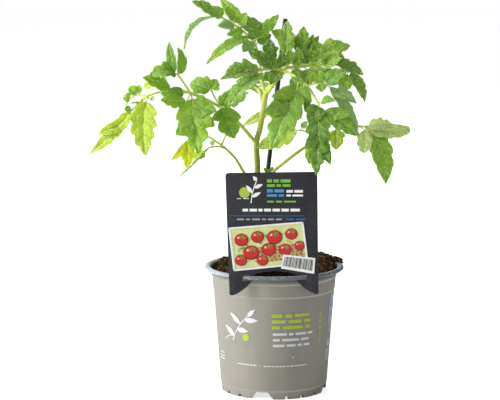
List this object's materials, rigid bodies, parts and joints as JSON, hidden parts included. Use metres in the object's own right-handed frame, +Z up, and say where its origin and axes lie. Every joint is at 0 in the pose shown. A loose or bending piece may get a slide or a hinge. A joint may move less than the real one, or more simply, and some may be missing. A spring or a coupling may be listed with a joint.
{
  "type": "potted cherry tomato plant",
  "caption": "Young cherry tomato plant with lobed compound leaves, standing in a round plastic nursery pot with a card label over its rim and a thin support stake.",
  "frame": {"origin": "the point on the ground under the centre of the pot", "axes": "+Z up along the pot's axis, -Y towards the plant label, +X to the right of someone who looks at the label"},
  "size_m": [0.2752, 0.1591, 0.3411],
  "materials": {
    "pot": "smooth satin taupe plastic with a blue-grey rim",
    "soil": "dark fibrous peat",
    "plant_label": "satin charcoal card with printed pictures",
    "support_stake": "black satin",
    "main_stem": "pale green, finely haired",
    "leaf": "soft green blade with paler veins"
  },
  "bodies": {
    "root": {"pot": "pot", "soil": "soil", "plant_label": "plant_label", "support_stake": "support_stake", "main_stem": "main_stem", "leaf_left": "leaf", "leaf_lower_left": "leaf", "leaf_lower_right": "leaf", "leaf_front_right": "leaf", "leaf_front_left": "leaf", "leaf_top_left": "leaf", "leaf_top_right": "leaf", "shoot_tip": "leaf", "leaf_back_right": "leaf", "leaf_back_left": "leaf", "leaf_back_low": "leaf"}
  },
  "joints": []
}
